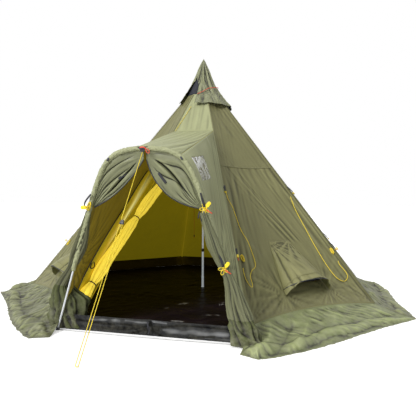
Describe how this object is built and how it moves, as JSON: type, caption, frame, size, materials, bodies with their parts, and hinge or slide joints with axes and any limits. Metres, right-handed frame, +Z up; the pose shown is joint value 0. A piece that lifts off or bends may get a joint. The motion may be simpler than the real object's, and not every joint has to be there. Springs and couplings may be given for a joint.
{
  "type": "tent",
  "caption": "Pyramid tent on one telescopic centre pole, with a snow skirt, a domed porch with its doors drawn back and a yellow inner tent.",
  "frame": {"origin": "on the ground under the centre pole, at the underside of the groundsheet", "axes": "+Z up along the centre pole; -Y out through the porch; +X to the right for someone who looks into the porch"},
  "size_m": [4.369, 4.9327, 2.8],
  "materials": {
    "olive_cloth": "olive coated tent cloth, slight sheen",
    "skirt_cloth": "lighter olive coated cloth, wrinkled",
    "black_net": "fine black fly net",
    "pole_metal": "satin drawn tube",
    "black_plastic": "black moulded plastic",
    "floor_cloth": "dark coated groundsheet, semi gloss",
    "sill_cloth": "dark grey coated groundsheet cloth",
    "inner_cloth": "yellow breathable inner cloth",
    "roll_cloth": "yellow breathable inner cloth, rolled",
    "window_film": "clear flexible film",
    "black_webbing": "black woven webbing",
    "white_webbing": "white woven tape",
    "yellow_cord": "braided yellow guy cord",
    "red_cord": "braided red cord"
  },
  "bodies": {
    "shell": {"outer_panel_front": "olive_cloth", "outer_panel_front_right": "olive_cloth", "outer_panel_front_left": "olive_cloth", "outer_panel_right": "olive_cloth", "outer_panel_back": "olive_cloth", "outer_panel_left": "olive_cloth", "vent_net_right": "black_net", "vent_net_left": "black_net", "vent_hood_right": "olive_cloth", "vent_hood_left": "olive_cloth", "skirt_right": "skirt_cloth", "skirt_back": "skirt_cloth", "skirt_left": "skirt_cloth", "skirt_front_right": "skirt_cloth", "skirt_front_left": "skirt_cloth", "cap_hood": "skirt_cloth", "top_net": "black_net", "pole_upper": "pole_metal", "pole_top_plug": "black_plastic", "groundsheet_floor": "floor_cloth", "groundsheet_wall": "floor_cloth", "groundsheet_sill": "sill_cloth", "inner_wall_right": "inner_cloth", "inner_wall_back": "inner_cloth", "inner_wall_left": "inner_cloth", "inner_wall_front": "inner_cloth", "inner_door_roll": "roll_cloth", "porch_pole_leg_right": "pole_metal", "porch_pole_leg_left": "pole_metal", "porch_pole_crown": "pole_metal", "porch_sleeve": "skirt_cloth", "porch_roof": "olive_cloth", "porch_wall_right": "olive_cloth", "porch_wall_left": "olive_cloth", "porch_window": "window_film", "door_flap_right": "olive_cloth", "door_flap_left": "olive_cloth", "door_bundle_right": "olive_cloth", "door_bundle_left": "olive_cloth", "porch_foot_tab_right": "black_plastic", "porch_foot_tab_left": "black_plastic", "ground_strap": "white_webbing", "crown_tab": "black_webbing", "front_guy": "yellow_cord", "cap_guy": "yellow_cord", "vent_pull_cord": "red_cord", "ridge_guy_front_right": "yellow_cord", "ridge_guy_right": "yellow_cord", "porch_hank_right": "yellow_cord", "porch_hank_left": "yellow_cord", "porch_hank_low": "yellow_cord", "ridge_hank_front_right": "yellow_cord", "ridge_hank_right": "yellow_cord", "ridge_hank_left": "yellow_cord"},
    "lower_pole": {"pole_lower": "pole_metal"},
    "lock_collar": {"pole_lock_collar": "black_plastic"},
    "lip_right": {"vent_lip_right": "black_plastic"},
    "lip_left": {"vent_lip_left": "black_plastic"},
    "guy_slider": {"front_guy_slider": "black_plastic"},
    "pull_toggle": {"vent_pull_toggle": "black_plastic"}
  },
  "joints": [
    {"name": "pole_telescope", "type": "slide", "parent": "shell", "child": "lower_pole", "axis": [0, 0, 1], "range_m": [0, 0.3]},
    {"name": "pole_lock", "type": "hinge", "parent": "lower_pole", "child": "lock_collar", "pos_m": [0, 0, 0.453], "axis": [0, 0, 1], "range_deg": [0, 90]},
    {"name": "vent_right_fold", "type": "hinge", "parent": "shell", "child": "lip_right", "pos_m": [1.19729, -1.19729, 0.29524], "axis": [0.7071, 0.7071, 0], "range_deg": [0, 75]},
    {"name": "vent_left_fold", "type": "hinge", "parent": "shell", "child": "lip_left", "pos_m": [-1.19729, -1.19729, 0.29524], "axis": [0.7071, -0.7071, 0], "range_deg": [0, 75]},
    {"name": "guy_slide", "type": "slide", "parent": "shell", "child": "guy_slider", "axis": [0.1598, 0.3645, 0.9174], "range_m": [0, 0.12]},
    {"name": "toggle_slide", "type": "slide", "parent": "shell", "child": "pull_toggle", "axis": [0, 0, 1], "range_m": [0, 0.25]}
  ]
}
